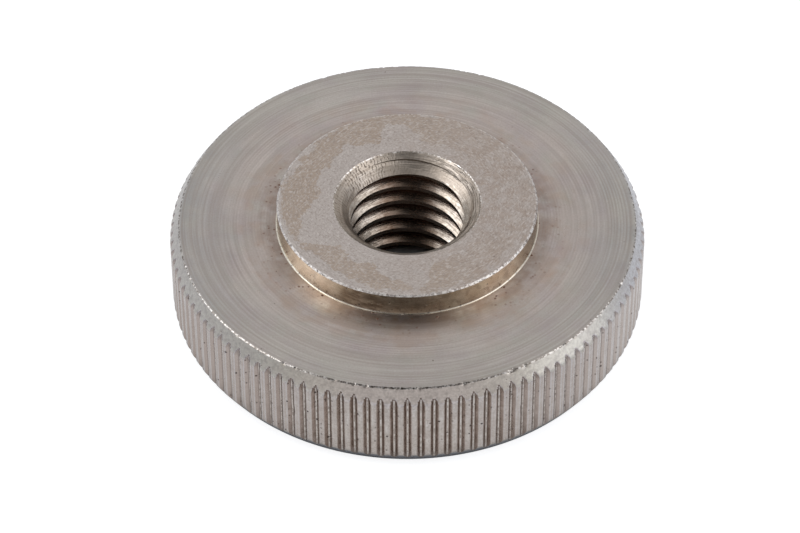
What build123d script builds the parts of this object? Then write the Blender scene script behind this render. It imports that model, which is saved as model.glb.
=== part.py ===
from build123d import *
import math
import os

# Low knurled nut for an M10 screw, turned in one piece from round steel bar: a thick disc with a
# straight knurl round its rim, a low hub on its upper face and a tapped hole through both.
# Millimetres. +Z points up along the thread's axis, and the origin is the centre of the flat
# underside that the nut stands on.

# Disc
KNURL_DIAMETER = 36.0
DISC_HEIGHT = 7.7
DISC_CHAMFER_WIDTH = 0.7
DISC_CHAMFER_HEIGHT = 1.15

# Straight knurl: grooves along the axis, with flat lands left between them
GROOVE_COUNT = 114
GROOVE_DEPTH = 0.25
GROOVE_ROOT_WIDTH = 0.13
GROOVE_ANGLE = 80.0
FIRST_GROOVE_ANGLE = -90.0
CUT_OVERRUN = 0.1

# Hub
HUB_DIAMETER = 19.7
HUB_RISE = 1.9
HUB_EDGE_BREAK = 0.08
HUB_FOOT_RADIUS = 0.1

# Hole, as bored for the M10 x 1.5 thread: the wall is the thread's minor diameter
BORE_DIAMETER = 8.6

# Countersink at the hub, turned in two passes: a flat outer cone, then a steep inner one
OUTER_CONE_WIDTH = 0.65
OUTER_CONE_DEPTH = 0.45
INNER_CONE_WIDTH = 0.65
INNER_CONE_DEPTH = 0.75

# Light countersink at the underside, one plain cone that only breaks the bore's edge
UNDERSIDE_CONE_WIDTH = 0.35
UNDERSIDE_CONE_DEPTH = 0.35


def profile_points():
    """Corners of the nut's half section in the XZ plane, as (radius, height), keyed by name."""
    disc_radius = KNURL_DIAMETER / 2
    face_radius = disc_radius - DISC_CHAMFER_WIDTH
    hub_radius = HUB_DIAMETER / 2
    bore_radius = BORE_DIAMETER / 2
    top = DISC_HEIGHT + HUB_RISE
    inner_cone_top = bore_radius + INNER_CONE_WIDTH
    return {
        "underside_cone_mouth": (bore_radius + UNDERSIDE_CONE_WIDTH, 0),
        "underside_edge": (face_radius, 0),
        "lower_shoulder": (disc_radius, DISC_CHAMFER_HEIGHT),
        "upper_shoulder": (disc_radius, DISC_HEIGHT - DISC_CHAMFER_HEIGHT),
        "disc_face_edge": (face_radius, DISC_HEIGHT),
        "hub_foot": (hub_radius, DISC_HEIGHT),
        "hub_edge": (hub_radius, top),
        "hub_cone_mouth": (inner_cone_top + OUTER_CONE_WIDTH, top),
        "cone_step": (inner_cone_top, top - OUTER_CONE_DEPTH),
        "bore_top": (bore_radius, top - OUTER_CONE_DEPTH - INNER_CONE_DEPTH),
        "bore_bottom": (bore_radius, UNDERSIDE_CONE_DEPTH),
    }


def nearest_corner(profile, point):
    """The profile's corner that lies at the given (radius, height)."""
    target = Vector(point[0], 0, point[1])
    return profile.vertices().sort_by_distance(target)[0]


def half_section():
    """Closed half section of the turned blank, with the hub's rounded foot and broken edge."""
    points = profile_points()
    outline = Polyline(*[(radius, 0, height) for radius, height in points.values()], close=True)
    profile = make_face(outline)
    profile = fillet(nearest_corner(profile, points["hub_foot"]), HUB_FOOT_RADIUS)
    return chamfer(nearest_corner(profile, points["hub_edge"]), HUB_EDGE_BREAK)


def turned_blank():
    """The nut as it leaves the lathe, before its rim is knurled."""
    return revolve(half_section(), Axis.Z)


def groove_cutter():
    """Prism that cuts one groove of the knurl: a flat root and two flanks that open outwards."""
    root_radius = KNURL_DIAMETER / 2 - GROOVE_DEPTH
    outer_radius = KNURL_DIAMETER / 2 + CUT_OVERRUN
    flank_slope = math.tan(math.radians(GROOVE_ANGLE / 2))
    root_half = GROOVE_ROOT_WIDTH / 2
    outer_half = root_half + (outer_radius - root_radius) * flank_slope
    section = Polyline(
        (root_radius, -root_half),
        (outer_radius, -outer_half),
        (outer_radius, outer_half),
        (root_radius, root_half),
        close=True,
    )
    return extrude(make_face(section), DISC_HEIGHT)


def knurled_nut():
    """Blank with the grooves cut: each one runs out to a tip on both of the disc's chamfers."""
    cutter = groove_cutter()
    places = PolarLocations(0, GROOVE_COUNT, start_angle=FIRST_GROOVE_ANGLE)
    return turned_blank() - [place * cutter for place in places]


os.makedirs("parts", exist_ok=True)
export_step(knurled_nut(), "parts/knurled_nut.step")
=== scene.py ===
# %% [markdown]
# # A knurled nut
# This nut is turned from one bar of steel: a thick disc with a straight knurl round its rim, a low hub
# and a threaded hole. The CAD part gives its true size and place. It is loaded first as a fixed frame,
# and everything below is fitted to it. Sizes are written in millimetres, because that is how a turner
# would say them, and the finished mesh is brought to metres in one step.

import math
import random
from types import SimpleNamespace

import bmesh
import bpy
from mathutils import Matrix, Vector, noise


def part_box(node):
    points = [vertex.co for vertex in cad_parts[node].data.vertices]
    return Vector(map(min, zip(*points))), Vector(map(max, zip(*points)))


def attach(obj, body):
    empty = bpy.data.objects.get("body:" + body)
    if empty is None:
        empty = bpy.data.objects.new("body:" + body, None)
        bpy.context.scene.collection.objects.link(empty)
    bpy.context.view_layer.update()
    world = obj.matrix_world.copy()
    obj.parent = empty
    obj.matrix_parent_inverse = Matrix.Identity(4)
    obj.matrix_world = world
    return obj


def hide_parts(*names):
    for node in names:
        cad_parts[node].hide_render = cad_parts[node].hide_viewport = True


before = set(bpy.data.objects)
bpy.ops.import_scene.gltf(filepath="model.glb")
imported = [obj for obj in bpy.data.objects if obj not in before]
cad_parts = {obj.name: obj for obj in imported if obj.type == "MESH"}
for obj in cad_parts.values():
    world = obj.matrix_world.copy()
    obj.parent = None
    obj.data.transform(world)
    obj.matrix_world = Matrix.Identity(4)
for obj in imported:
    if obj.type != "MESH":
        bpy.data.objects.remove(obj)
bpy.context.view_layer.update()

MM = 0.001
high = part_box("knurled_nut")[1]
rim_radius = high[0] / MM
nut_height = high[2] / MM
print("rim radius and height in mm:", round(rim_radius, 3), round(nut_height, 3))

# %% [markdown]
# ## Sizes of the turned form
# These repeat the part's own sizes. The corner between each chamfer and the knurled band is rounded here,
# because the knurling wheels roll it over, and a rounded corner is what catches the light. The two sharp
# edges, round the face and round the hub, get a hair's breadth of edge break, as a file leaves them.

# %% Sizes in millimetres
disc_height = 7.7
chamfer_width = 0.7
chamfer_height = 1.15
shoulder_radius = 0.75
face_radius = rim_radius - chamfer_width
face_edge_break = 0.065
hub_radius = 9.85
hub_edge_break = 0.12
foot_radius = 0.10
bore_radius = 4.3
cone_step_radius = 4.95
cone_mouth_radius = 5.6
cone_step_height = nut_height - 0.45
bore_top = nut_height - 1.2
lower_mouth_radius = 4.65
bore_bottom = 0.35

groove_count = 114
groove_depth = 0.25
root_half = 0.065
opening_half = 0.275
first_groove = math.radians(-90)
pitch_angle = 2 * math.pi / groove_count
print("grooves:", groove_count, "at a pitch of", round(2 * math.pi * rim_radius / groove_count, 3), "mm")


# %% [markdown]
# ## The rim's outline
# The rim's skin starts as one chain of points, its outline from the underside up to the edge of the face.
# Straight stretches are divided evenly, and the two rolled shoulders are true arcs.

# %% Outline of the rim
def straight(start, end, steps):
    """Points from start towards end, without the end itself."""
    return [tuple(a + (b - a) * i / steps for a, b in zip(start, end)) for i in range(steps)]


def shoulder(side, steps=4):
    """Rounded corner between a chamfer and the band, from the chamfer to the band."""
    turn = math.atan2(chamfer_width, chamfer_height)
    rise = shoulder_radius * math.tan(turn / 2)
    centre = (rim_radius - shoulder_radius, chamfer_height + rise)
    points = []
    for i in range(steps + 1):
        a = turn * (1 - i / steps)
        points.append((centre[0] + shoulder_radius * math.cos(a), centre[1] - shoulder_radius * math.sin(a)))
    if side == "upper":
        points = [(r, disc_height - z) for r, z in points]
    return points


seam_gap = 0.3
rim_inner_radius = face_radius - 0.5
chamfer_slant = math.hypot(chamfer_width, chamfer_height)
edge_low = (
    face_radius + face_edge_break * chamfer_width / chamfer_slant,
    disc_height - face_edge_break * chamfer_height / chamfer_slant,
)
edge_high = (face_radius - face_edge_break, disc_height)
lower_shoulder = shoulder("lower")
upper_shoulder = shoulder("upper")[::-1]
rim_outline = (
    straight((rim_inner_radius, 0), (face_radius, 0), 2)
    + straight((face_radius, 0), lower_shoulder[0], 5)
    + lower_shoulder[:-1]
    + straight(lower_shoulder[-1], upper_shoulder[0], 11)
    + upper_shoulder[:-1]
    + straight(upper_shoulder[-1], edge_low, 8)
    + [edge_low]
    + straight(edge_high, (rim_inner_radius, disc_height), 4)
    + [(rim_inner_radius, disc_height)]
)
print("points in the rim's outline:", len(rim_outline))

# %% [markdown]
# ## The knurl
# A straight knurl is rolled: a wheel with teeth along its width is pressed into the turning rim. Each
# groove has a flat root and two flanks, and a flat land is left between two grooves. One pitch of the rim
# is swept from the outline, in narrow strips where the section bends and wide ones where it's flat. A spin
# copies that pitch round the axis, and the grooves are then pressed in, each a little differently, as the
# wheel did it. Where a groove meets the chamfer it runs out to a tip by itself.

# %% Sweep one pitch and spin it round
band_pitch = 2 * math.pi * rim_radius / groove_count
half_columns = [0.03, 0.085, 0.165, 0.265, 0.30, 0.36]
column_places = [-place for place in reversed(half_columns)] + half_columns + [band_pitch / 2]
weld = 0.002


def chain(bm, points):
    """Vertices joined in a row, in the XZ plane."""
    verts = [bm.verts.new((r, 0, z)) for r, z in points]
    return [bm.edges.new(pair) for pair in zip(verts, verts[1:])]


def sweep_pitch(bm):
    """One pitch of the rim's skin, swept about the axis strip by strip."""
    row = chain(bm, rim_outline)
    start = first_groove - pitch_angle / 2
    bmesh.ops.rotate(bm, verts=bm.verts[:], matrix=Matrix.Rotation(start, 3, "Z"))
    place = -band_pitch / 2
    for next_place in column_places:
        made = bmesh.ops.extrude_edge_only(bm, edges=row)["geom"]
        verts = [g for g in made if isinstance(g, bmesh.types.BMVert)]
        new = set(verts)
        edges = [g for g in made if isinstance(g, bmesh.types.BMEdge)]
        row = [e for e in edges if e.verts[0] in new and e.verts[1] in new]
        turn = Matrix.Rotation((next_place - place) / rim_radius, 3, "Z")
        bmesh.ops.rotate(bm, verts=verts, matrix=turn)
        place = next_place


nut = bmesh.new()
sweep_pitch(nut)
bmesh.ops.spin(
    nut,
    geom=nut.verts[:] + nut.edges[:] + nut.faces[:],
    axis=(0, 0, 1),
    angle=2 * math.pi - pitch_angle,
    steps=groove_count - 1,
    use_duplicate=True,
)
bmesh.ops.remove_doubles(nut, verts=nut.verts[:], dist=weld)
print("rim:", len(nut.verts), "vertices,", len(nut.faces), "faces")

# %% [markdown]
# ## Pressing the grooves
# Each vertex of the rim is moved in to the groove's section. Its depth there is also kept as an attribute
# of the mesh, because grime and oil gather in the grooves, and painted shade and painted highlights are
# laid in them too, so the finish needs to know where they are.

# %% Press the grooves in
random.seed(7)
press_spread = 0.04
groove_press = [random.gauss(1.0, press_spread) for _ in range(groove_count)]
land_crown = 0.012
lip_depth = 0.03
lip_width = 0.085
rolling_waver = 0.01
waver_apart = 3.7
waver_along = 0.8
groove_mark = nut.verts.layers.float.new("groove")


def section_depth(offset):
    """Depth of the groove's section at a distance from its middle."""
    offset = abs(offset)
    if offset <= root_half:
        return groove_depth
    if offset >= opening_half:
        crown = land_crown * (1 - (offset - opening_half) / (band_pitch / 2 - opening_half))
        return crown + lip_depth * max(0.0, 1 - (offset - opening_half) / lip_width) ** 2
    return lip_depth + (groove_depth - lip_depth) * (opening_half - offset) / (opening_half - root_half)


def move_to_radius(v, radius):
    """Moves a vertex in or out, level with where it is."""
    now = math.hypot(v.co.x, v.co.y)
    v.co.x *= radius / now
    v.co.y *= radius / now


def press_grooves(bm):
    """Grooves pressed into the rim, with the share of the full depth kept as an attribute."""
    for v in bm.verts:
        radius = math.hypot(v.co.x, v.co.y)
        steps = (math.atan2(v.co.y, v.co.x) - first_groove) / pitch_angle
        index = round(steps)
        depth = section_depth((steps - index) * band_pitch)
        waver = rolling_waver * noise.noise(Vector((index * waver_apart, v.co.z * waver_along, 0)))
        limit = rim_radius - max(0.0, depth * groove_press[index % groove_count] + waver)
        if radius > limit:
            v[groove_mark] = depth / groove_depth
            move_to_radius(v, limit)


press_grooves(nut)
print("vertices moved into grooves:", sum(v[groove_mark] > 0.5 for v in nut.verts))

# %% [markdown]
# ## Knocks on the rim
# A nut that has lived in a toolbox has small dents in its lands and nicks in the edge of its face. A dent
# is a shallow bowl: vertices near its middle are pushed in. The edge is worn by noise that runs along it,
# so that it is bruised all round, and by a few deeper nicks.

# %% Dent the lands and nick the face's edge
dent_count = 46
dent_sizes = (0.3, 0.65)
dent_depths = (0.03, 0.08)
dents = [
    (
        random.uniform(-math.pi, math.pi),
        random.uniform(chamfer_height, disc_height - chamfer_height),
        random.uniform(*dent_sizes),
        random.uniform(*dent_depths),
    )
    for _ in range(dent_count)
]
# Degrees round the face, then length and depth in millimetres.
nicks = (
    (-163.4, 0.16, 0.05),
    (-121.3, 0.20, 0.06),
    (-108.0, 0.14, 0.05),
    (-100.1, 0.18, 0.06),
    (-87.0, 0.14, 0.05),
    (-76.3, 0.20, 0.07),
    (-63.9, 0.42, 0.12),
    (-60.4, 0.22, 0.09),
    (-41.0, 0.14, 0.05),
    (-23.0, 0.18, 0.06),
    (35.0, 0.20, 0.06),
    (112.0, 0.24, 0.07),
)
edge_reach = 0.09
nick_reach = 0.13
wear_limit = 4 * edge_reach
inward_share = 0.6
bruise_depth = 0.15
bruise_start = 0.10
bruises_per_mm = 3.9
fine_bruises_per_mm = 8.3
fine_share = 0.6
patches_per_mm = 0.33
face_edge_seed = 0.1


def dent_lands(bm):
    """Shallow bowls in the knurled band."""
    for angle, height, size, depth in dents:
        middle = Vector((rim_radius * math.cos(angle), rim_radius * math.sin(angle), height))
        for v in bm.verts:
            away = (v.co - middle).length / size
            if away < 1.0:
                move_to_radius(v, math.hypot(v.co.x, v.co.y) - depth * (1 - away * away))


def edge_wear(angle, radius, seed):
    """Depth worn off an edge at an angle round it."""
    along = Vector((math.cos(angle), math.sin(angle), seed)) * radius
    bruises = noise.noise(along * bruises_per_mm) + fine_share * noise.noise(along * fine_bruises_per_mm)
    patchy = 0.5 + 0.9 * noise.noise(along * patches_per_mm)
    return bruise_depth * max(0.0, bruises * max(0.0, patchy) - bruise_start)


def nick_edge(bm):
    """The face's edge, bruised all round and nicked in places."""
    for v in bm.verts:
        radius = math.hypot(v.co.x, v.co.y)
        away = math.hypot(radius - face_radius, v.co.z - disc_height)
        if away > wear_limit:
            continue
        angle = math.atan2(v.co.y, v.co.x)
        depth = edge_wear(angle, face_radius, face_edge_seed)
        reach = edge_reach
        for degrees, length, deep in nicks:
            turn = math.remainder(angle - math.radians(degrees), 2 * math.pi) * face_radius / length
            if abs(turn) < 1.0:
                depth += deep * (1 - turn * turn)
                reach = nick_reach
        worn = depth * math.exp(-((away / reach) ** 2))
        move_to_radius(v, radius - inward_share * worn)
        v.co.z -= worn


dent_lands(nut)
nick_edge(nut)
print("dents:", len(dents), "nicks:", len(nicks))

# %% [markdown]
# ## Face, hub and underside
# The rest of the turned form has no grooves, so a plain outline is spun a full turn, with its first and
# last copies merged. Its rim has fewer points than the knurled skin, and the two are joined later on the
# flat of the face, where the triangles between them can't be seen.


# %% Spin the hub and the underside
def spin_outline(points, steps):
    """A plain turned surface: the outline spun a full turn."""
    bm = bmesh.new()
    edges = chain(bm, points)
    bmesh.ops.spin(
        bm,
        geom=bm.verts[:] + edges,
        axis=(0, 0, 1),
        angle=2 * math.pi,
        steps=steps,
        use_merge=True,
    )
    return bm


foot_arc = [
    (hub_radius + foot_radius * (1 - math.cos(a)), disc_height + foot_radius * (1 - math.sin(a)))
    for a in (math.pi / 2, math.pi / 3, math.pi / 6, 0)
]
hub_inner_radius = cone_mouth_radius + seam_gap
face_inner_radius = rim_inner_radius - seam_gap
hub_outline = (
    straight((face_inner_radius, disc_height), foot_arc[0], 5)
    + foot_arc
    + straight((hub_radius, disc_height + foot_radius), (hub_radius, nut_height - hub_edge_break), 3)[1:]
    + [(hub_radius, nut_height - hub_edge_break), (hub_radius - hub_edge_break, nut_height)]
    + straight((hub_radius - hub_edge_break, nut_height), (hub_inner_radius, nut_height), 5)[1:]
    + [(hub_inner_radius, nut_height)]
)
hub_steps = 570
hub = spin_outline(hub_outline, hub_steps)
thread_major = 5.1
underside_inner_radius = thread_major + seam_gap
underside_outline = straight((underside_inner_radius, 0), (face_inner_radius, 0), 3)
underside_outline.append((face_inner_radius, 0))
underside = spin_outline(underside_outline, hub_steps // 2)
hub_wear = 0.7
hub_edge_seed = 3.3
for v in hub.verts:
    radius = math.hypot(v.co.x, v.co.y)
    if math.hypot(radius - hub_radius, v.co.z - nut_height) < 2 * hub_edge_break:
        worn = hub_wear * edge_wear(math.atan2(v.co.y, v.co.x), hub_radius, hub_edge_seed)
        move_to_radius(v, radius - worn)
        v.co.z -= worn
print("hub:", len(hub.faces), "faces; underside:", len(underside.faces), "faces")

# %% [markdown]
# ## The thread
# An internal thread is a groove that climbs one pitch each turn. The chain here is the whole stack of
# turns, seen in section. The spin lifts it by one pitch in a full turn, so its last copy lands on the first,
# one turn up, and the two are merged. The countersinks are then opened: each point inside a cone is moved
# out to the cone's wall, so the thread runs out on it as it does after the last cut.

# %% Spin the thread and open the countersinks
thread_pitch = 1.5
thread_start = -2.635
thread_turns = 9
thread_steps = 240
crest_width = 0.36
root_width = 0.15
flank_width = (thread_pitch - crest_width - root_width) / 2


def thread_section(turns):
    """Section of the thread's turns, from the lowest up."""
    points = []
    for turn in range(turns):
        z = thread_start + turn * thread_pitch
        crest_end = z + crest_width
        root_start = crest_end + flank_width
        root_end = root_start + root_width
        points += straight((bore_radius, z), (bore_radius, crest_end), 3)
        points += straight((bore_radius, crest_end), (thread_major, root_start), 6)
        points += straight((thread_major, root_start), (thread_major, root_end), 1)
        points += straight((thread_major, root_end), (bore_radius, z + thread_pitch), 6)
    return points + [(bore_radius, thread_start + turns * thread_pitch)]


def cone_radius(z):
    """Radius of the widest of the three cones at a height, each carried on beyond its ends."""
    inner_slope = (cone_step_radius - bore_radius) / (cone_step_height - bore_top)
    outer_slope = (cone_mouth_radius - cone_step_radius) / (nut_height - cone_step_height)
    lower_slope = (lower_mouth_radius - bore_radius) / bore_bottom
    return max(
        bore_radius + inner_slope * (z - bore_top),
        cone_step_radius + outer_slope * (z - cone_step_height),
        bore_radius + lower_slope * (bore_bottom - z),
    )


def cone_gap(v):
    """How far a vertex lies outside the cones."""
    return math.hypot(v.co.x, v.co.y) - cone_radius(v.co.z)


thread = bmesh.new()
thread_edges = chain(thread, thread_section(thread_turns))
bmesh.ops.spin(
    thread,
    geom=thread.verts[:] + thread_edges,
    axis=(0, 0, 1),
    dvec=(0, 0, thread_pitch / thread_steps),
    angle=2 * math.pi,
    steps=thread_steps,
)
bmesh.ops.remove_doubles(thread, verts=thread.verts[:], dist=weld)
plane_snap = 0.0001
# Height of each cut, the side that is outward, and whether that side is cut off.
thread_cuts = ((0.0, -1, True), (nut_height, 1, True), (cone_step_height, 1, False), (bore_top, 1, False))
for height, outward, cut_off in thread_cuts:
    bmesh.ops.bisect_plane(
        thread,
        geom=thread.verts[:] + thread.edges[:] + thread.faces[:],
        plane_co=(0, 0, height),
        plane_no=(0, 0, outward),
        clear_outer=cut_off,
        dist=plane_snap,
    )
crossings = []
for e in thread.edges[:]:
    gaps = [cone_gap(v) for v in e.verts]
    if min(gaps) < -weld and max(gaps) > weld:
        crossings.append(bmesh.utils.edge_split(e, e.verts[0], gaps[0] / (gaps[0] - gaps[1]))[1])
bmesh.ops.connect_verts(thread, verts=crossings)
for v in thread.verts:
    if cone_gap(v) < 0:
        move_to_radius(v, cone_radius(v.co.z))
print("places where the thread runs out on a cone:", len(crossings))
print("thread:", len(thread.faces), "faces")


# %% [markdown]
# ## Join the skins
# The spun skins are brought into one mesh. The open loops that face each other on a flat are filled with
# triangles between them, which closes the nut.

# %% Join and close
def take_in(target, source):
    """Copies one bmesh into another."""
    mesh = bpy.data.meshes.new("part_of_nut")
    source.to_mesh(mesh)
    target.from_mesh(mesh)
    bpy.data.meshes.remove(mesh)
    source.free()


def ring_edges(bm, inner, outer, height):
    """Open edges on a flat, between two radii."""

    def on_ring(v):
        return inner - weld < math.hypot(v.co.x, v.co.y) < outer + weld and abs(v.co.z - height) < weld

    return [e for e in bm.edges if e.is_boundary and all(on_ring(v) for v in e.verts)]


for skin in (hub, underside, thread):
    take_in(nut, skin)
flat_rings = (
    (face_inner_radius, rim_inner_radius, disc_height),
    (face_inner_radius, rim_inner_radius, 0),
    (cone_mouth_radius, hub_inner_radius, nut_height),
    (lower_mouth_radius, underside_inner_radius, 0),
)
for ring in flat_rings:
    loops = ring_edges(nut, *ring)
    made = bmesh.ops.triangle_fill(nut, edges=loops, use_beauty=True, normal=(0, 0, 1))
    faces = [g for g in made["geom"] if isinstance(g, bmesh.types.BMFace)]
    print("filled between", len(loops), "edges with", len(faces), "faces")
bmesh.ops.recalc_face_normals(nut, faces=nut.faces[:])
print("open edges left:", sum(not e.is_manifold for e in nut.edges))

# %% [markdown]
# ## One finish for each cut
# Each tool leaves its own surface, and on this nut seven of them can be told apart. They are parts of one
# piece of metal, so it stays one mesh, and each face is given the finish of the tool that cut it.

# %% Sort the faces by the tool that cut them
finishes = ("knurl", "chamfer", "face", "hub_top", "hub_side", "countersink", "thread")
groove_layer = nut.verts.layers.float["groove"]
rim_zone = 0.4
runout_height = 0.12
upright_facing = 0.2
slanting_facing = 0.8
half_way = 0.5


def finish_of(face):
    """Which tool cut this face."""
    middle = face.calc_center_median()
    radius = math.hypot(middle.x, middle.y)
    if radius > face_radius - rim_zone:
        if max(v[groove_layer] for v in face.verts) > half_way or abs(face.normal.z) < upright_facing:
            return "knurl"
        if abs(face.normal.z) < slanting_facing:
            return "chamfer"
    if radius < cone_mouth_radius:
        on_cone = all(abs(cone_gap(v)) < weld for v in face.verts)
        return "countersink" if on_cone or middle.z > bore_top + runout_height else "thread"
    if radius > hub_radius + foot_radius or middle.z < disc_height:
        return "face"
    upper_half = middle.z > (disc_height + nut_height) / 2
    return "hub_top" if face.normal.z > half_way and upper_half else "hub_side"


counts = dict.fromkeys(finishes, 0)
for f in nut.faces:
    f.smooth = True
    finish = finish_of(f)
    counts[finish] += 1
    f.material_index = finishes.index(finish)
sharp_angle = math.radians(22)
for e in nut.edges:
    e.smooth = e.calc_face_angle(0.0) < sharp_angle
print("faces of each finish:", counts)

# %% Make the object
bmesh.ops.scale(nut, vec=(MM, MM, MM), verts=nut.verts[:])
nut_mesh = bpy.data.meshes.new("turned_nut")
nut.to_mesh(nut_mesh)
nut.free()
turned_nut = bpy.data.objects.new("turned_nut", nut_mesh)
bpy.context.collection.objects.link(turned_nut)
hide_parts("knurled_nut")
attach(turned_nut, "root")
nut_mesh.calc_loop_triangles()
print("triangles:", len(nut_mesh.loop_triangles))


# %% [markdown]
# ## Painting steel with nodes
# Bare steel has no paint to hide it, so all that the eye reads is how smooth each patch is, which way its
# tool marks run, and what has stained it. Every pattern below is drawn from Object coordinates brought to
# millimetres, and from the radius, direction and height taken from them. So tool marks run true round the
# axis, with no seam, and each pattern's size can be written as it would be measured.

# %% Colours and nodes
def linear(hex_colour):
    """sRGB hex colour as linear values with alpha."""
    values = [int(hex_colour[i : i + 2], 16) / 255 for i in (1, 3, 5)]
    return [v / 12.92 if v <= 0.04045 else ((v + 0.055) / 1.055) ** 2.4 for v in values] + [1.0]


def add(tree, kind, inputs=None, **settings):
    """Adds a shader node with its settings, values and links."""
    node = tree.nodes.new("ShaderNode" + kind)
    for name, value in settings.items():
        setattr(node, name, value)
    for socket, value in (inputs or {}).items():
        if isinstance(value, bpy.types.NodeSocket):
            tree.links.new(value, node.inputs[socket])
        else:
            node.inputs[socket].default_value = value
    return node


def start_steel(name, anisotropic=0.0):
    """A steel and the measures that its patterns are drawn from."""
    material = bpy.data.materials.new(name)
    material.use_nodes = True
    tree = material.node_tree
    shader = tree.nodes["Principled BSDF"]
    shader.inputs["Metallic"].default_value = 1.0
    shader.inputs["Anisotropic"].default_value = anisotropic
    place = add(tree, "TexCoord")
    in_mm = {0: place.outputs["Object"], "Scale": 1 / MM}
    point = add(tree, "VectorMath", in_mm, operation="SCALE")
    level = add(tree, "VectorMath", {0: point.outputs[0], 1: (1, 1, 0)}, operation="MULTIPLY")
    radius = add(tree, "VectorMath", {0: level.outputs[0]}, operation="LENGTH")
    outward = add(tree, "VectorMath", {0: level.outputs[0]}, operation="NORMALIZE")
    parts = add(tree, "SeparateXYZ", {0: point.outputs[0]})
    sideways = add(tree, "Math", {0: parts.outputs["X"]}, operation="ABSOLUTE")
    nut_mesh.materials.append(material)
    return SimpleNamespace(
        tree=tree,
        shader=shader,
        point=point.outputs[0],
        radius=radius.outputs["Value"],
        outward=outward.outputs[0],
        x=parts.outputs["X"],
        y=parts.outputs["Y"],
        sideways=sideways.outputs[0],
        height=parts.outputs["Z"],
    )


# %% [markdown]
# ## Patterns of machined metal
# Four patterns do most of the work. Tool lines are noise squeezed across the cut and stretched round the
# axis. Clouds are plain noise, for stains and grain. Pits are small round spots, one to a cell.
# Hairlines are noise stretched along one direction, for scratches. Each gives a share from 0 to 1,
# between two levels of its noise or two sizes. Zones say where on the nut a mark lies, as a share
# between two values of a measure. Shares are then added up as roughness, as height or as coats of
# colour.

# %% Patterns
def zones(skin, **limits):
    """Shares by name, each growing from 0 to 1 between two values of a measure."""
    shares = {}
    for name, (measure, start, end) in limits.items():
        reach = {"Value": measure, "From Min": start, "From Max": end}
        shares[name] = add(skin.tree, "MapRange", reach).outputs["Result"]
    return SimpleNamespace(**shares)


def tool_lines(skin, along, spacing, drift, levels):
    """Lines that a tool leaves in turning work, by their spacing and how much they change in a turn."""
    step = add(skin.tree, "Math", {0: along, 1: 1 / spacing}, operation="MULTIPLY")
    row = add(skin.tree, "CombineXYZ", {"Z": step.outputs[0]})
    circle = add(skin.tree, "VectorMath", {0: skin.outward, "Scale": drift}, operation="SCALE")
    at = add(skin.tree, "VectorMath", {0: row.outputs[0], 1: circle.outputs[0]}, operation="ADD")
    lines = add(skin.tree, "TexNoise", {"Vector": at.outputs[0], "Scale": 1.0, "Detail": 2.0})
    return zones(skin, share=(lines.outputs["Fac"], *levels)).share


def clouds(skin, size, levels, detail=4.0, shift=0.0):
    """Soft patches of a size in millimetres."""
    at = add(skin.tree, "VectorMath", {0: skin.point, 1: (shift, shift, shift)}, operation="ADD")
    patches = add(
        skin.tree,
        "TexNoise",
        {"Vector": at.outputs[0], "Scale": 1 / size, "Detail": detail, "Roughness": 0.6},
    )
    return zones(skin, share=(patches.outputs["Fac"], *levels)).share


def pits(skin, spacing, size, kept):
    """Round pits of a size in millimetres, in a kept share of cells of a spacing."""
    cells = add(skin.tree, "TexVoronoi", {"Vector": skin.point, "Scale": 1 / spacing})
    reach = {"Value": cells.outputs["Distance"], "From Min": size / spacing, "From Max": 0.5 * size / spacing}
    near = add(skin.tree, "MapRange", reach)
    chance = add(skin.tree, "SeparateColor", {0: cells.outputs["Color"]})
    keep = add(skin.tree, "Math", {0: chance.outputs[0], 1: kept}, operation="LESS_THAN")
    both = add(skin.tree, "Math", {0: near.outputs[0], 1: keep.outputs[0]}, operation="MULTIPLY")
    return both.outputs[0]


def hairlines(skin, degrees, length, width, levels):
    """Fine scratches that run one way, by their length and width in millimetres."""
    at = add(
        skin.tree,
        "Mapping",
        {"Vector": skin.point, "Rotation": (0, 0, math.radians(degrees)), "Scale": (length, width, 1)},
        vector_type="TEXTURE",
    )
    lines = add(skin.tree, "TexNoise", {"Vector": at.outputs[0], "Scale": 1.0, "Detail": 1.0})
    return zones(skin, share=(lines.outputs["Fac"], *levels)).share


def chatter(skin, marks, lean):
    """Short marks across the cut, where a tool has chattered round a hole."""
    angle = add(skin.tree, "Math", {0: skin.y, 1: skin.x}, operation="ARCTAN2")
    tremble = clouds(skin, 0.5, (0.0, 1.0), detail=2.0)
    unsteady = total(skin, angle.outputs[0], (tremble, 0.09), (skin.height, lean))
    beats = add(skin.tree, "Math", {0: unsteady, 1: marks}, operation="MULTIPLY")
    wave = add(skin.tree, "Math", {0: beats.outputs[0]}, operation="SINE")
    ticks = zones(skin, crest=(wave.outputs[0], 0.35, 0.95)).crest
    return overlap(skin, ticks, clouds(skin, 0.28, (0.42, 0.58), detail=2.0, shift=11.0))


def near_value(skin, measure, value, reach):
    """Share that is 1 where a measure has a value and fades to 0 at a reach from it."""
    gap = add(skin.tree, "Math", {0: measure, 1: value}, operation="SUBTRACT")
    away = add(skin.tree, "Math", {0: gap.outputs[0]}, operation="ABSOLUTE")
    scale = {"Value": away.outputs[0], "From Min": reach, "From Max": 0.4 * reach}
    return add(skin.tree, "MapRange", scale, interpolation_type="SMOOTHSTEP").outputs["Result"]


def overlap(skin, *shares):
    """Share of where all of these shares meet."""
    result = shares[0]
    for share in shares[1:]:
        result = add(skin.tree, "Math", {0: result, 1: share}, operation="MULTIPLY").outputs[0]
    return result


def total(skin, start, *layers):
    """A number with shares of others added."""
    result = start
    for share, amount in layers:
        step = {0: share, 1: amount, 2: result}
        result = add(skin.tree, "Math", step, operation="MULTIPLY_ADD").outputs[0]
    return result


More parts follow.
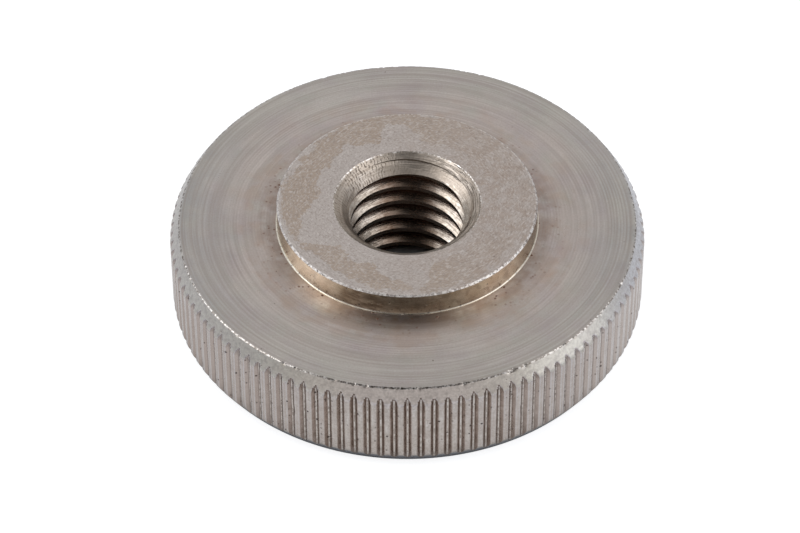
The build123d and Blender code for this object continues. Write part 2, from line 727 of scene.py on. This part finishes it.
def coats(skin, start, *layers):
    """Colours laid over each other, each where its share says and as thick as its strength."""
    colour = start if isinstance(start, bpy.types.NodeSocket) else linear(start)
    for share, strength, paint in layers:
        thick = add(skin.tree, "Math", {0: share, 1: strength}, operation="MULTIPLY")
        mix = {"Factor": thick.outputs[0], "A": colour, "B": linear(paint)}
        colour = add(skin.tree, "Mix", mix, data_type="RGBA").outputs["Result"]
    return colour


def fill_ramp(ramp, stops):
    """Gives a colour ramp its stops, each a place from 0 to 1 and a colour."""
    while len(ramp.elements) < len(stops):
        ramp.elements.new(0.5)
    for element, (place, colour) in zip(ramp.elements, stops):
        element.position = place
        element.color = colour


def finish_steel(skin, colour, roughness, relief, across=None):
    """Links colour, roughness, relief in millimetres and the direction across the tool marks."""
    bump = add(skin.tree, "Bump", {"Height": relief, "Distance": MM, "Strength": 1.0})
    skin.tree.links.new(colour, skin.shader.inputs["Base Color"])
    skin.tree.links.new(roughness, skin.shader.inputs["Roughness"])
    skin.tree.links.new(bump.outputs["Normal"], skin.shader.inputs["Normal"])
    if across is not None:
        skin.tree.links.new(across, skin.shader.inputs["Tangent"])


def knocked_edge_and_painted_glint(skin, band):
    """Edge pits and coats: bright metal with painted highlight, dull gaps, front pits with painted dark
    reflection.
    """
    in_front = zones(skin, knocked=(skin.y, -14.5, -16.8)).knocked
    # Bright worn metal along the edge, partly a painted highlight.
    bright = overlap(skin, band, clouds(skin, 0.22, (0.40, 0.52), shift=2.0))
    gaps = overlap(skin, band, clouds(skin, 0.26, (0.46, 0.54), shift=43.0))
    # Painted dark reflection: the pits at the front of the edge are painted near black.
    dark = overlap(skin, band, in_front, clouds(skin, 0.20, (0.46, 0.54), shift=12.0))
    return dark, ((bright, 0.55, "#E6E1DA"), (gaps, 0.80, "#6B6259"), (dark, 0.80, "#3A302A"))


# %% [markdown]
# ## The knurled band
# Rolling squeezes the steel and leaves it satin, so a land mirrors the table softly. The flanks of the
# grooves are a little browner all round, grime has dried dark in patches in their roots, oil has left soft
# stains, rust has eaten small pits, and a few lands are rubbed bright. Light and shade are painted in too:
# the flanks and tips of the grooves at the front are painted dark as shade, the flat root carries a
# painted highlight line, and towards the sides the lands are painted greyer, darker on the left and
# lighter on the right, with painted shade in the corners of the grooves and a painted bluish highlight
# beside them. The groove attribute says how deep in a groove each point lies.

# %% Rolled and grimy steel
chamfer_line = disc_height - chamfer_height
skin = start_steel("rolled_steel_with_grime_and_painted_shade")
groove = add(skin.tree, "Attribute", attribute_name="groove").outputs["Fac"]
zone = zones(
    skin,
    in_groove=(groove, 0.03, 0.20),
    beside_root=(groove, 1.0, 0.88),
    at_root=(groove, 0.96, 1.0),
    on_land=(groove, 0.10, 0.04),
    at_tip=(skin.height, chamfer_line - 0.20, chamfer_line + 0.10),
    to_sides=(skin.sideways, 4.0, 11.0),
    to_left=(skin.x, -6.0, -11.0),
    to_right=(skin.x, 12.0, 16.0),
    at_front=(skin.sideways, 12.0, 6.0),
)
on_flank = overlap(skin, zone.in_groove, zone.beside_root)
oil = clouds(skin, 2.6, (0.42, 0.66))
grime = clouds(skin, 0.7, (0.36, 0.62), shift=5.0)
grain = clouds(skin, 0.13, (0.32, 0.68), shift=9.0)
mottle = clouds(skin, 0.26, (0.50, 0.64), detail=2.0, shift=19.0)
front_flank_painted_shade = overlap(skin, on_flank, zone.at_front)
corner_painted_shade = overlap(skin, near_value(skin, groove, 0.90, 0.11), zone.to_sides)
bluish_edge_painted_highlight = overlap(skin, near_value(skin, groove, 0.06, 0.06), zone.to_sides)
turned = tool_lines(skin, skin.height, 0.16, 60.0, (0.30, 0.70))
streaks = tool_lines(skin, skin.height, 1.4, 110.0, (0.50, 0.75))
holes = pits(skin, 0.75, 0.11, 0.25)
small_holes = pits(skin, 0.40, 0.08, 0.30)
colour = coats(
    skin,
    "#C2BCB8",
    (grain, 0.62, "#958D86"),
    (mottle, 0.30, "#857D74"),
    (streaks, 0.35, "#CFCCC4"),
    (oil, 0.30, "#9F948A"),
    # Painted light and shade: greyer towards the sides, darker on the left and lighter on the right.
    (zone.to_sides, 0.55, "#ADA39F"),
    (zone.to_left, 0.32, "#A0968F"),
    (zone.to_right, 0.26, "#DAD6D3"),
    (on_flank, 0.22, "#9C887B"),
    # Painted shade: the grooves' flanks at the front are painted dark brown, darker still in grime patches.
    (front_flank_painted_shade, 0.62, "#7A6356"),
    (overlap(skin, front_flank_painted_shade, grime), 0.42, "#54412F"),
    # Painted shade: a thin dark line in the corner beside each groove's root, towards the sides.
    (corner_painted_shade, 0.50, "#665850"),
    # Painted highlight: a thin bluish light line on the lands' edges, towards the sides.
    (bluish_edge_painted_highlight, 0.25, "#DCE0E6"),
    # Painted shade: the grooves' tips under the chamfer are painted dark, most of all at the front.
    (overlap(skin, zone.in_groove, zone.at_tip), 0.26, "#4A3A2E"),
    (overlap(skin, front_flank_painted_shade, zone.at_tip), 0.42, "#4A3A2E"),
    # Painted highlight: a light line on the flat root, then real grime patches in the root.
    (zone.at_root, 0.24, "#DDD9D2"),
    (overlap(skin, zone.at_root, clouds(skin, 0.35, (0.46, 0.60), shift=15.0)), 0.62, "#5E4D41"),
    (overlap(skin, zone.on_land, grime), 0.22, "#8C7B6E"),
    (small_holes, 0.80, "#55463C"),
    (holes, 0.90, "#3E3029"),
)
roughness = total(skin, 0.22, (grain, 0.06), (oil, 0.05), (zone.in_groove, -0.02), (holes, 0.30))
relief = total(skin, 0.0, (turned, 0.002), (grain, 0.004), (holes, -0.03), (small_holes, -0.02))
finish_steel(skin, colour, roughness, relief)

# %% [markdown]
# ## The chamfers
# The chamfers were turned with the side of the tool and are the smoothest cut on the rim, satin with fine
# lines round them. They are knocked as the edge is, so they carry small bright and dark nicks; the bright
# edge is partly a painted highlight, and its pits at the front are painted dark as a painted reflection.
# Towards the sides the chamfers are painted greener and on the right lighter, as painted reflection, and
# the low part of the lower chamfer is painted dark blue-grey, a painted reflection of the shaded table.

# %% Turned chamfer steel
skin = start_steel("turned_chamfer_steel", anisotropic=0.2)
zone = zones(
    skin,
    to_sides=(skin.sideways, 3.0, 9.0),
    to_right=(skin.x, 14.0, 17.0),
    under_edge=(skin.height, 1.25, 0.9),
)
lines = tool_lines(skin, skin.height, 0.10, 5.0, (0.32, 0.68))
broad = tool_lines(skin, skin.height, 0.45, 2.0, (0.35, 0.65))
grain = clouds(skin, 0.17, (0.32, 0.68))
mottle = clouds(skin, 0.30, (0.50, 0.64), detail=2.0, shift=19.0)
oil = clouds(skin, 2.2, (0.42, 0.66), shift=3.0)
specks = pits(skin, 0.6, 0.07, 0.2)
edge_pits, edge_coats_with_painted_glint = knocked_edge_and_painted_glint(skin, near_value(skin, skin.height, disc_height, 0.10))
colour = coats(
    skin,
    "#D2C7BE",
    # Painted reflection: greener towards the sides and lighter on the right.
    (zone.to_sides, 0.70, "#C2BFAE"),
    (zone.to_right, 0.60, "#D6D8DA"),
    (lines, 0.30, "#A59B91"),
    (grain, 0.60, "#A0968C"),
    (mottle, 0.35, "#8A827A"),
    (oil, 0.20, "#A79B93"),
    (specks, 0.70, "#5E5047"),
    *edge_coats_with_painted_glint,
    # Painted reflection of the shaded table under the lower chamfer, in dark blue-grey.
    (zone.under_edge, 0.70, "#7F8896"),
)
roughness = total(skin, 0.25, (lines, 0.05), (broad, 0.04), (grain, 0.05))
relief = total(skin, 0.0, (lines, 0.003), (broad, 0.004), (grain, 0.004), (specks, -0.02), (edge_pits, -0.03))
up = add(skin.tree, "CombineXYZ", {"Z": 1.0})
finish_steel(skin, colour, roughness, relief, up.outputs[0])

# %% [markdown]
# ## The disc's face
# The face was cut with a pointed tool that crept inwards, which leaves a very fine spiral: rings that
# shimmer as the part turns. Feed rings of a tenth of a millimetre would be too fine to show, so they are
# drawn at nearly a quarter, with coarser ones beside them. Handling has stained the face in soft rings,
# greenish grey outside, pinkish in the middle and darker towards the hub. A browner ring in front of the
# hub is a painted reflection of the hub's brown side, and grey patches at the far left and right are
# painted shade. Rust has started at the hub's foot.

# %% Faced steel with stains and rust specks
feed_pitch = 0.23
skin = start_steel("faced_steel", anisotropic=0.5)
zone = zones(
    skin,
    near_hub=(skin.radius, 15.5, 11.5),
    at_foot=(skin.radius, 12.0, 10.4),
    in_front=(skin.y, 1.0, -5.0),
    held_sides=(skin.sideways, 12.0, 16.0),
    near_foot=(skin.radius, 12.4, 10.0),
)
fine = tool_lines(skin, skin.radius, 0.17, 1.3, (0.36, 0.64))
medium = tool_lines(skin, skin.radius, 0.45, 1.2, (0.34, 0.66))
feed = add(skin.tree, "Math", {0: skin.radius, 1: 2 * math.pi / feed_pitch}, operation="MULTIPLY")
feed_wave = add(skin.tree, "Math", {0: feed.outputs[0]}, operation="SINE")
feed_rings = zones(skin, crest=(feed_wave.outputs[0], -0.8, 0.8)).crest
feed_marks = overlap(skin, feed_rings, clouds(skin, 3.4, (0.34, 0.62), shift=29.0))
mauve_rings = tool_lines(skin, skin.radius, 2.1, 3.5, (0.42, 0.66))
mauve = overlap(skin, mauve_rings, clouds(skin, 1.5, (0.26, 0.60), shift=31.0))
tan = tool_lines(skin, skin.radius, 1.3, 7.0, (0.50, 0.66))
green_rings = tool_lines(skin, skin.radius, 1.3, 4.5, (0.44, 0.66))
green = overlap(skin, green_rings, clouds(skin, 1.2, (0.26, 0.60), shift=33.0))
tan_near_hub = overlap(skin, tan, zone.near_hub)
foot_stain = overlap(skin, zone.at_foot, clouds(skin, 1.5, (0.34, 0.56), shift=17.0))
stain = clouds(skin, 4.5, (0.30, 0.70), shift=7.0)
wander = total(skin, skin.radius, (stain, 1.8), (medium, 0.5))
hub_side_painted_reflection = overlap(
    skin,
    near_value(skin, wander, 13.4, 0.9),
    clouds(skin, 2.2, (0.38, 0.58), shift=39.0),
    zone.in_front,
)
toward_rim = {"Value": skin.radius, "From Min": 11.5, "From Max": 15.5, "To Min": 0.45}
cut_deeper = add(skin.tree, "MapRange", toward_rim).outputs["Result"]
fine = overlap(skin, fine, cut_deeper)
face_sides_painted_shade = overlap(skin, zone.held_sides, clouds(skin, 2.6, (0.30, 0.60), shift=27.0))
grain = clouds(skin, 0.14, (0.32, 0.68))
ring_tints = add(skin.tree, "ValToRGB", {"Fac": zones(skin, place=(wander, 10.5, 19.0)).place})
ring_colours = ((0.0, "#A99F97"), (0.22, "#B3A8A0"), (0.48, "#BAB0A8"), (0.72, "#B5B0A8"), (1.0, "#B3B1A7"))
fill_ramp(ring_tints.color_ramp, [(place, linear(tint)) for place, tint in ring_colours])
specks = pits(skin, 0.9, 0.07, 0.16)
rust_patch = clouds(skin, 1.6, (0.46, 0.56), shift=21.0)
rust_grains = pits(skin, 0.34, 0.12, 0.55)
rust = overlap(skin, zone.near_foot, rust_patch, rust_grains)
edge_pits, edge_coats_with_painted_glint = knocked_edge_and_painted_glint(skin, near_value(skin, skin.radius, face_radius, 0.11))
colour = coats(
    skin,
    ring_tints.outputs["Color"],
    (mauve, 0.50, "#A1949A"),
    (green, 0.42, "#A1A699"),
    (tan_near_hub, 0.45, "#A88F7A"),
    # Painted reflection: a brown band in front of the hub, standing in for the hub's side mirrored in the
    # face.
    (hub_side_painted_reflection, 0.34, "#9A7A62"),
    (foot_stain, 0.74, "#7A604F"),
    # Painted shade: cool grey patches at the far left and right of the face.
    (face_sides_painted_shade, 0.62, "#9A9B9D"),
    (fine, 0.52, "#8E857D"),
    (feed_marks, 0.30, "#8E857D"),
    (medium, 0.14, "#D2C9C2"),
    (grain, 0.42, "#9A8E86"),
    (specks, 0.70, "#5A4E47"),
    (rust, 0.85, "#643C24"),
    *edge_coats_with_painted_glint,
)
roughness = total(skin, 0.26, (fine, 0.05), (medium, 0.04), (mauve, 0.03), (grain, 0.04), (rust, 0.3))
relief = total(
    skin,
    0.0,
    (fine, 0.0028),
    (medium, 0.0026),
    (grain, 0.0026),
    (specks, -0.016),
    (rust, 0.016),
    (edge_pits, -0.03),
)
finish_steel(skin, colour, roughness, relief, skin.outward)

# %% [markdown]
# ## The top of the hub
# The hub's top is duller and lighter, because it has been rubbed flat. Something dried on it and left
# brownish stains with crisp edges: a crescent on one side and a broad patch on the other. A colour ramp is
# used as a pair of curves here. Its red says how far from the axis the stain starts at each angle, its
# green where it ends and its blue how strong it is, and noise then frays the edges.

# %% Rubbed steel with dried stains
# Degrees round the hub, where the stain starts and ends in millimetres from the axis, and its strength.
stain_shape = (
    (0, 6.6, 9.5, 0.10),
    (30, 6.2, 9.5, 0.15),
    (60, 6.9, 9.8, 0.35),
    (78, 6.6, 9.8, 0.8),
    (90, 8.5, 9.9, 0.8),
    (100, 8.7, 9.6, 0.8),
    (108, 6.8, 10.0, 1.0),
    (127, 7.7, 9.9, 1.0),
    (145, 7.4, 9.3, 1.0),
    (165, 7.0, 9.4, 1.0),
    (180, 7.1, 9.6, 1.0),
    (192, 8.1, 9.5, 1.0),
    (205, 8.9, 9.5, 0.9),
    (222, 6.9, 8.6, 0.9),
    (237, 7.4, 9.0, 0.9),
    (250, 7.1, 9.3, 1.0),
    (262, 8.0, 9.4, 1.0),
    (276, 9.2, 9.3, 0.6),
    (286, 6.8, 9.4, 0.9),
    (305, 6.4, 9.3, 0.40),
    (330, 6.7, 8.8, 0.15),
    (360, 6.6, 9.5, 0.10),
)
ramp_unit = 10
skin = start_steel("rubbed_steel_with_stains", anisotropic=0.15)
zone = zones(skin, right_half=(skin.x, -3.0, 5.0))
angle = add(skin.tree, "Math", {0: skin.y, 1: skin.x}, operation="ARCTAN2")
turn = add(skin.tree, "Math", {0: angle.outputs[0], 1: 0.5 / math.pi}, operation="MULTIPLY")
wrapped = add(skin.tree, "Math", {0: turn.outputs[0]}, operation="FRACT")
stain_stops = [
    (degrees / 360, (start / ramp_unit, end / ramp_unit, strength, 1.0))
    for degrees, start, end, strength in stain_shape
]
shape = add(skin.tree, "ValToRGB", {"Fac": wrapped.outputs[0]})
fill_ramp(shape.color_ramp, stain_stops)
curves = add(skin.tree, "SeparateColor", {0: shape.outputs["Color"]})
inside = total(skin, skin.radius, (curves.outputs["Red"], -ramp_unit))
outside = add(skin.tree, "Math", {0: curves.outputs["Green"], 1: ramp_unit}, operation="MULTIPLY")
outside = add(skin.tree, "Math", {0: outside.outputs[0], 1: skin.radius}, operation="SUBTRACT")
depth = add(skin.tree, "Math", {0: inside, 1: outside.outputs[0]}, operation="MINIMUM")
torn_edge = clouds(skin, 1.3, (0.0, 1.0), detail=6.0)
fine_edge = clouds(skin, 0.28, (0.0, 1.0), detail=3.0, shift=4.0)
frayed = total(skin, depth.outputs[0], (torn_edge, 2.6), (fine_edge, 0.7))
stained = zones(skin, here=(frayed, 1.62, 1.76)).here
stain_grain = clouds(skin, 0.22, (0.26, 0.52), detail=5.0, shift=41.0)
stain = overlap(skin, stained, curves.outputs["Blue"], stain_grain)
grain = clouds(skin, 0.15, (0.28, 0.72))
flecks = tool_lines(skin, skin.radius, 0.13, 26.0, (0.54, 0.66))
dark_flecks = tool_lines(skin, skin.radius, 0.12, 31.0, (0.46, 0.34))
blotch = clouds(skin, 1.1, (0.30, 0.70), shift=6.0)
warm = overlap(skin, zone.right_half, clouds(skin, 0.9, (0.34, 0.62), detail=6.0, shift=13.0))
fine = tool_lines(skin, skin.radius, 0.16, 9.0, (0.30, 0.70))
scratches = hairlines(skin, 52, 1.1, 0.10, (0.60, 0.70))
more_scratches = hairlines(skin, -48, 1.3, 0.10, (0.60, 0.70))
specks = pits(skin, 0.8, 0.06, 0.14)
edge_band = near_value(skin, skin.radius, hub_radius, 0.23)
edge = overlap(skin, edge_band, clouds(skin, 0.22, (0.44, 0.54)))
edge_pits = overlap(skin, edge_band, clouds(skin, 0.20, (0.56, 0.64), shift=12.0))
colour = coats(
    skin,
    "#BEB5AE",
    (blotch, 0.20, "#ADA59E"),
    (warm, 0.70, "#A39182"),
    (stain, 0.92, "#AD9C8B"),
    (overlap(skin, stain, blotch), 0.30, "#A08E7C"),
    (grain, 0.56, "#958A81"),
    (flecks, 0.34, "#D9D2CC"),
    (dark_flecks, 0.42, "#82776E"),
    (fine, 0.12, "#9C928A"),
    (specks, 0.65, "#594C44"),
    (scratches, 0.22, "#CDC6BF"),
    (more_scratches, 0.26, "#8F847B"),
    # Bright worn metal round the hub's edge, partly a painted highlight.
    (edge, 0.62, "#EFEAE2"),
    (edge_pits, 0.60, "#4A3F37"),
)
roughness = total(skin, 0.37, (grain, 0.06), (stain, 0.04), (fine, 0.02), (scratches, -0.08))
relief = total(
    skin,
    0.0,
    (grain, 0.007),
    (flecks, 0.006),
    (fine, 0.003),
    (scratches, -0.004),
    (more_scratches, -0.004),
    (edge_pits, -0.02),
)
finish_steel(skin, colour, roughness, relief, skin.outward)

# %% [markdown]
# ## The hub's side
# The side of the hub was turned with the tool's flank and has lines round it like a screw with no depth.
# It is the glossiest turned surface here, so it shows the face in front of it, and old oil has given it a
# golden brown tint with small dark specks. Its left side is painted palest, a painted highlight, with dark
# runs in the lines beside that, and the thin light line round its foot is a painted highlight too.

# %% Turned and oil-tinted steel
skin = start_steel("turned_hub_steel", anisotropic=0.6)
zone = zones(skin, low=(skin.height, disc_height + 0.7, disc_height + 0.2), to_left=(skin.x, -4.6, -6.4))
lines = tool_lines(skin, skin.height, 0.12, 8.0, (0.32, 0.68))
broad = tool_lines(skin, skin.height, 0.5, 6.0, (0.32, 0.68))
grain = clouds(skin, 0.2, (0.30, 0.70))
oil = clouds(skin, 1.4, (0.40, 0.64), shift=3.0)
specks = pits(skin, 0.45, 0.07, 0.28)
foot_painted_highlight = near_value(skin, skin.height, disc_height + 0.05, 0.12)
foot_specks = overlap(skin, pits(skin, 0.30, 0.11, 0.45), zone.low)
smudges = clouds(skin, 0.6, (0.52, 0.62), shift=35.0)
front_left = near_value(skin, skin.x, -3.2, 2.2)
dark_runs = overlap(skin, front_left, tool_lines(skin, skin.height, 0.35, 9.0, (0.40, 0.56)))
colour = coats(
    skin,
    "#DFD2BA",
    (lines, 0.30, "#9E907E"),
    (broad, 0.25, "#D8CAB6"),
    (oil, 0.30, "#A89273"),
    (smudges, 0.30, "#6B594A"),
    # Painted highlight: the left side of the hub is painted pale cream.
    (zone.to_left, 0.75, "#FFF6DE"),
    (dark_runs, 0.55, "#6B5746"),
    (foot_specks, 0.75, "#3F322A"),
    (grain, 0.25, "#948575"),
    (specks, 0.80, "#3F322A"),
    # Painted highlight: a thin light line round the hub's foot.
    (foot_painted_highlight, 0.40, "#EDE6DC"),
)
roughness = total(skin, 0.13, (lines, 0.04), (oil, 0.05), (grain, 0.04))
relief = total(skin, 0.0, (lines, 0.005), (broad, 0.007), (grain, 0.003), (specks, -0.02))
up = add(skin.tree, "CombineXYZ", {"Z": 1.0})
finish_steel(skin, colour, roughness, relief, up.outputs[0])

# %% [markdown]
# ## The countersinks
# A countersink is cut by a tool held by hand pressure, and it chatters: instead of one smooth cone it
# leaves faint flats side by side round the hole, and steps where it dwelt. The flats are drawn as a wave
# round the hole, clearest on the left, and the steps as lines down the cone. The outer cone is painted
# lighter on the right, a painted highlight, and the mouth's edge carries a broken bright ring, worn metal
# and partly a painted highlight.

# %% Countersunk steel with chatter
chatter_marks = 118
skin = start_steel("countersunk_steel", anisotropic=0.2)
zone = zones(
    skin,
    left_side=(skin.x, 0.5, -3.0),
    right_side=(skin.x, -0.5, 3.0),
    outer_cone=(skin.radius, cone_step_radius, cone_step_radius + 0.10),
)
down_cone = add(skin.tree, "Math", {0: skin.radius, 1: skin.height}, operation="ADD").outputs[0]
lines = tool_lines(skin, down_cone, 0.14, 3.0, (0.32, 0.68))
courses = overlap(skin, tool_lines(skin, down_cone, 0.24, 2.0, (0.52, 0.62)), zone.left_side)
all_ticks = chatter(skin, chatter_marks, 0.06)
ticks = overlap(skin, all_ticks, zone.left_side)
outer_right_steps_and_painted_light = overlap(skin, zone.right_side, zone.outer_cone)
steps = overlap(skin, tool_lines(skin, down_cone, 0.22, 3.0, (0.46, 0.58)), outer_right_steps_and_painted_light)
grain = clouds(skin, 0.16, (0.30, 0.70))
oil = clouds(skin, 1.2, (0.40, 0.64))
mouth_band = near_value(skin, skin.radius, cone_mouth_radius, 0.12)
mouth_worn_and_painted_glint = overlap(skin, mouth_band, clouds(skin, 0.18, (0.48, 0.56), shift=37.0))
colour = coats(
    skin,
    "#B8ADA0",
    (lines, 0.35, "#8A7D72"),
    (grain, 0.30, "#978A7D"),
    (oil, 0.25, "#A3937F"),
    # Painted highlight: the outer cone is painted lighter on the right.
    (outer_right_steps_and_painted_light, 0.35, "#CFC5B9"),
    (steps, 0.50, "#6B5E50"),
    (courses, 0.45, "#75695D"),
    (all_ticks, 0.25, "#6F6256"),
    (ticks, 0.55, "#5F5247"),
    # Bright worn metal round the mouth, partly a painted highlight.
    (mouth_worn_and_painted_glint, 0.80, "#F2EDE6"),
)
roughness = total(skin, 0.27, (lines, 0.05), (grain, 0.05), (ticks, 0.2))
relief = total(skin, 0.0, (lines, 0.010), (steps, 0.03), (ticks, -0.02), (grain, 0.006))
up = add(skin.tree, "CombineXYZ", {"Z": 1.0})
finish_steel(skin, colour, roughness, relief, up.outputs[0])

# %% [markdown]
# ## The thread
# The tap leaves its flanks torn a little, with fine lines round them. The roots are painted dark brown,
# partly old oil and partly painted shade, and as oil isn't metal, the shader is less metallic there. The
# middle of the back wall is painted dark brown as well, a painted shade, and is a little less metallic.
# Most of the look in here comes from light that bounces from flank to flank, and each bounce takes on the
# steel's own warm grey again.

# %% Tapped steel
skin = start_steel("tapped_steel")
zone = zones(
    skin,
    root=(skin.radius, thread_major - 0.48, thread_major - 0.12),
    inside=(skin.height, bore_top + 0.5, bore_top - 0.1),
    left_side=(skin.x, 0.5, -2.5),
)
lines = tool_lines(skin, skin.height, 0.13, 3.0, (0.32, 0.68))
grain = clouds(skin, 0.16, (0.30, 0.70))
oil = clouds(skin, 1.2, (0.36, 0.62))
mottle = clouds(skin, 0.34, (0.46, 0.60), detail=6.0, shift=45.0)
root_oil_and_painted_shade = overlap(skin, zone.root, zone.inside)
down_flank = add(skin.tree, "Math", {0: skin.radius, 1: skin.height}, operation="ADD").outputs[0]
torn = tool_lines(skin, down_flank, 0.13, 6.0, (0.46, 0.64))
back_painted_shade = near_value(skin, skin.x, 0.0, 3.2)
colour = coats(
    skin,
    "#C3BBB1",
    (lines, 0.30, "#8F8172"),
    (grain, 0.22, "#86796C"),
    (oil, 0.28, "#A08E74"),
    (mottle, 0.32, "#5F5245"),
    (torn, 0.42, "#6A5A4A"),
    (overlap(skin, chatter(skin, chatter_marks, 0.5), zone.left_side), 0.32, "#5F5247"),
    # Painted shade: the middle of the back wall and the roots are painted dark brown; the roots partly old
    # oil.
    (back_painted_shade, 0.62, "#603C20"),
    (root_oil_and_painted_shade, 0.84, "#5A2F16"),
)
# The painted shade and the oil make the shader less metallic.
metal = total(skin, 1.0, (root_oil_and_painted_shade, -0.32), (back_painted_shade, -0.06))
skin.tree.links.new(metal, skin.shader.inputs["Metallic"])
roughness = total(skin, 0.14, (lines, 0.04), (grain, 0.04), (torn, 0.08), (mottle, 0.06))
relief = total(skin, 0.0, (lines, 0.003), (grain, 0.0015), (torn, -0.003))
finish_steel(skin, colour, roughness, relief)
print("materials:", [m.name for m in nut_mesh.materials])

# %% [markdown]
# ## The table
# The nut lies on a plain white table. Much of the table's brightness is its own light, seen by the camera
# and by reflections, so it reads as white without more lamps on the nut, and it still takes the nut's
# shadow. Under the nut and just beside it that light is left out, because no light gets in there, and
# what the steel mirrors of the table farther off is a little cooler.

# %% Table
floor_size = 1.5
floor_mesh = bpy.data.meshes.new("floor")
floor_bm = bmesh.new()
bmesh.ops.create_grid(floor_bm, x_segments=2, y_segments=2, size=floor_size)
floor_bm.to_mesh(floor_mesh)
floor_bm.free()
floor = bpy.data.objects.new("floor", floor_mesh)
bpy.context.collection.objects.link(floor)
paper = bpy.data.materials.new("white_paper")
paper.use_nodes = True
tree = paper.node_tree
tree.nodes.remove(tree.nodes["Principled BSDF"])
output = tree.nodes["Material Output"]
path = add(tree, "LightPath")
place = add(tree, "TexCoord")
from_axis = add(tree, "VectorMath", {0: place.outputs["Object"]}, operation="LENGTH")
glossy_or_clear = {0: path.outputs["Is Glossy Ray"], 1: path.outputs["Is Transmission Ray"]}
mirrored = add(tree, "Math", glossy_or_clear, operation="MAXIMUM")
mirrored_level = 0.78
seen_glow = 0.80
# Metres from the axis between which each kind of light sets in.
reaches = {
    "seen": {"From Min": 0.010, "From Max": 0.0175},
    "mirrored": {"From Min": 0.0173, "From Max": 0.0192, "To Max": mirrored_level},
    "far": {"From Min": 0.022, "From Max": 0.034},
}
free = {
    name: add(tree, "MapRange", {"Value": from_axis.outputs["Value"], **reach}).outputs["Result"]
    for name, reach in reaches.items()
}
seen = add(tree, "Math", {0: path.outputs["Is Camera Ray"], 1: free["seen"]}, operation="MULTIPLY")
kinds = {0: mirrored.outputs[0], 1: free["mirrored"], 2: seen.outputs[0]}
both_kinds = add(tree, "Math", kinds, operation="MULTIPLY_ADD")
diffuse = add(tree, "BsdfDiffuse", {"Color": linear("#A8A8A8")})
far_mirrored = add(tree, "Math", {0: mirrored.outputs[0], 1: free["far"]}, operation="MULTIPLY")
cooler = {"Factor": far_mirrored.outputs[0], "A": linear("#FFFFFF"), "B": linear("#DFE9FF")}
glow_colour = add(tree, "Mix", cooler, data_type="RGBA").outputs["Result"]
glow = add(tree, "Emission", {"Color": glow_colour, "Strength": seen_glow})
nothing = add(tree, "Emission", {"Color": linear("#000000"), "Strength": 0.0})
lift = add(tree, "MixShader", {0: both_kinds.outputs[0], 1: nothing.outputs[0], 2: glow.outputs[0]})
both = add(tree, "AddShader", {0: diffuse.outputs[0], 1: lift.outputs[0]})
tree.links.new(both.outputs[0], output.inputs["Surface"])
floor_mesh.materials.append(paper)

# %% [markdown]
# ## The studio
# Polished metal is lit by what stands round it. Here a pale room lights it evenly, large soft boxes stand at
# the sides and weaker ones behind, and the place above the camera is dark. They are painted on the world as
# soft round patches, so their reflections have no hard edges and the light has no noise.

# %% World
world = bpy.data.worlds.new("studio")
bpy.context.scene.world = world
world.use_nodes = True
tree = world.node_tree
background = tree.nodes["Background"]
place = add(tree, "TexCoord")
unit = add(tree, "VectorMath", {0: place.outputs["Generated"]}, operation="NORMALIZE")
room_level = 0.79
# Direction, degrees within which the patch is full and outside which it ends, and strength.
patches = (
    ((-0.02, -0.60, 0.80), 13, 25, 0.03),
    ((-0.05, -0.36, 0.93), 12, 20, 0.02),
    ((0.38, 0.35, 0.86), 6, 20, 1.10),
    ((-0.38, 0.35, 0.86), 6, 20, 0.84),
    ((-0.71, 0.04, 0.70), 10, 27, 3.1),
    ((0.73, -0.09, 0.67), 10, 29, 2.35),
    ((0.95, -0.28, 0.06), 12, 27, 2.1),
    ((-0.93, -0.35, 0.12), 10, 30, 0.70),
    ((0.0, 0.93, 0.36), 14, 34, 1.10),
    ((0.50, 0.68, 0.53), 6, 22, 0.58),
    ((-0.50, 0.68, 0.53), 6, 22, 0.66),
)
level = room_level
for direction, inner, outer, strength in patches:
    aimed = {0: unit.outputs[0], 1: Vector(direction).normalized()}
    facing = add(tree, "VectorMath", aimed, operation="DOT_PRODUCT")
    reach = {
        "Value": facing.outputs["Value"],
        "From Min": math.cos(math.radians(outer)),
        "From Max": math.cos(math.radians(inner)),
    }
    share = add(tree, "MapRange", reach).outputs["Result"]
    level = add(tree, "Mix", {"Factor": share, "A": level, "B": strength}).outputs["Result"]
path = add(tree, "LightPath")
shown = add(tree, "Mix", {"Factor": path.outputs["Is Camera Ray"], "A": level, "B": 1.0})
tree.links.new(shown.outputs["Result"], background.inputs["Strength"])
parts = add(tree, "SeparateXYZ", {0: unit.outputs[0]})
sideways = add(tree, "Math", {0: parts.outputs["X"]}, operation="ABSOLUTE")
to_side = add(tree, "MapRange", {"Value": sideways.outputs[0], "From Min": 0.70, "From Max": 0.92})
tint = {"Factor": to_side.outputs["Result"], "A": linear("#FAFBFF"), "B": linear("#EDF3FF")}
tinted = add(tree, "Mix", tint, data_type="RGBA")
tree.links.new(tinted.outputs["Result"], background.inputs["Color"])
print("light patches:", len(patches))

# %% [markdown]
# ## The camera
# A long lens looks down at the nut at about 46 degrees, from far enough off that its circles hardly narrow
# towards the back.

# %% Camera
scene = bpy.context.scene
camera_data = bpy.data.cameras.new("camera")
camera_data.sensor_width = 36
camera_data.lens = 170.67
camera = bpy.data.objects.new("camera", camera_data)
bpy.context.collection.objects.link(camera)
camera_elevation = math.radians(45.808)
camera_distance = 0.29255
camera_roll = math.radians(-0.204)
level_distance = camera_distance * math.cos(camera_elevation)
camera.location = (0, -level_distance, camera_distance * math.sin(camera_elevation))
aim = Vector((-0.00056, 0, 0.00272))
look = (aim - camera.location).to_track_quat("-Z", "Y")
camera.rotation_euler = (look.to_matrix() @ Matrix.Rotation(camera_roll, 3, "Z")).to_euler()
scene.camera = camera
scene.view_settings.view_transform = "Standard"
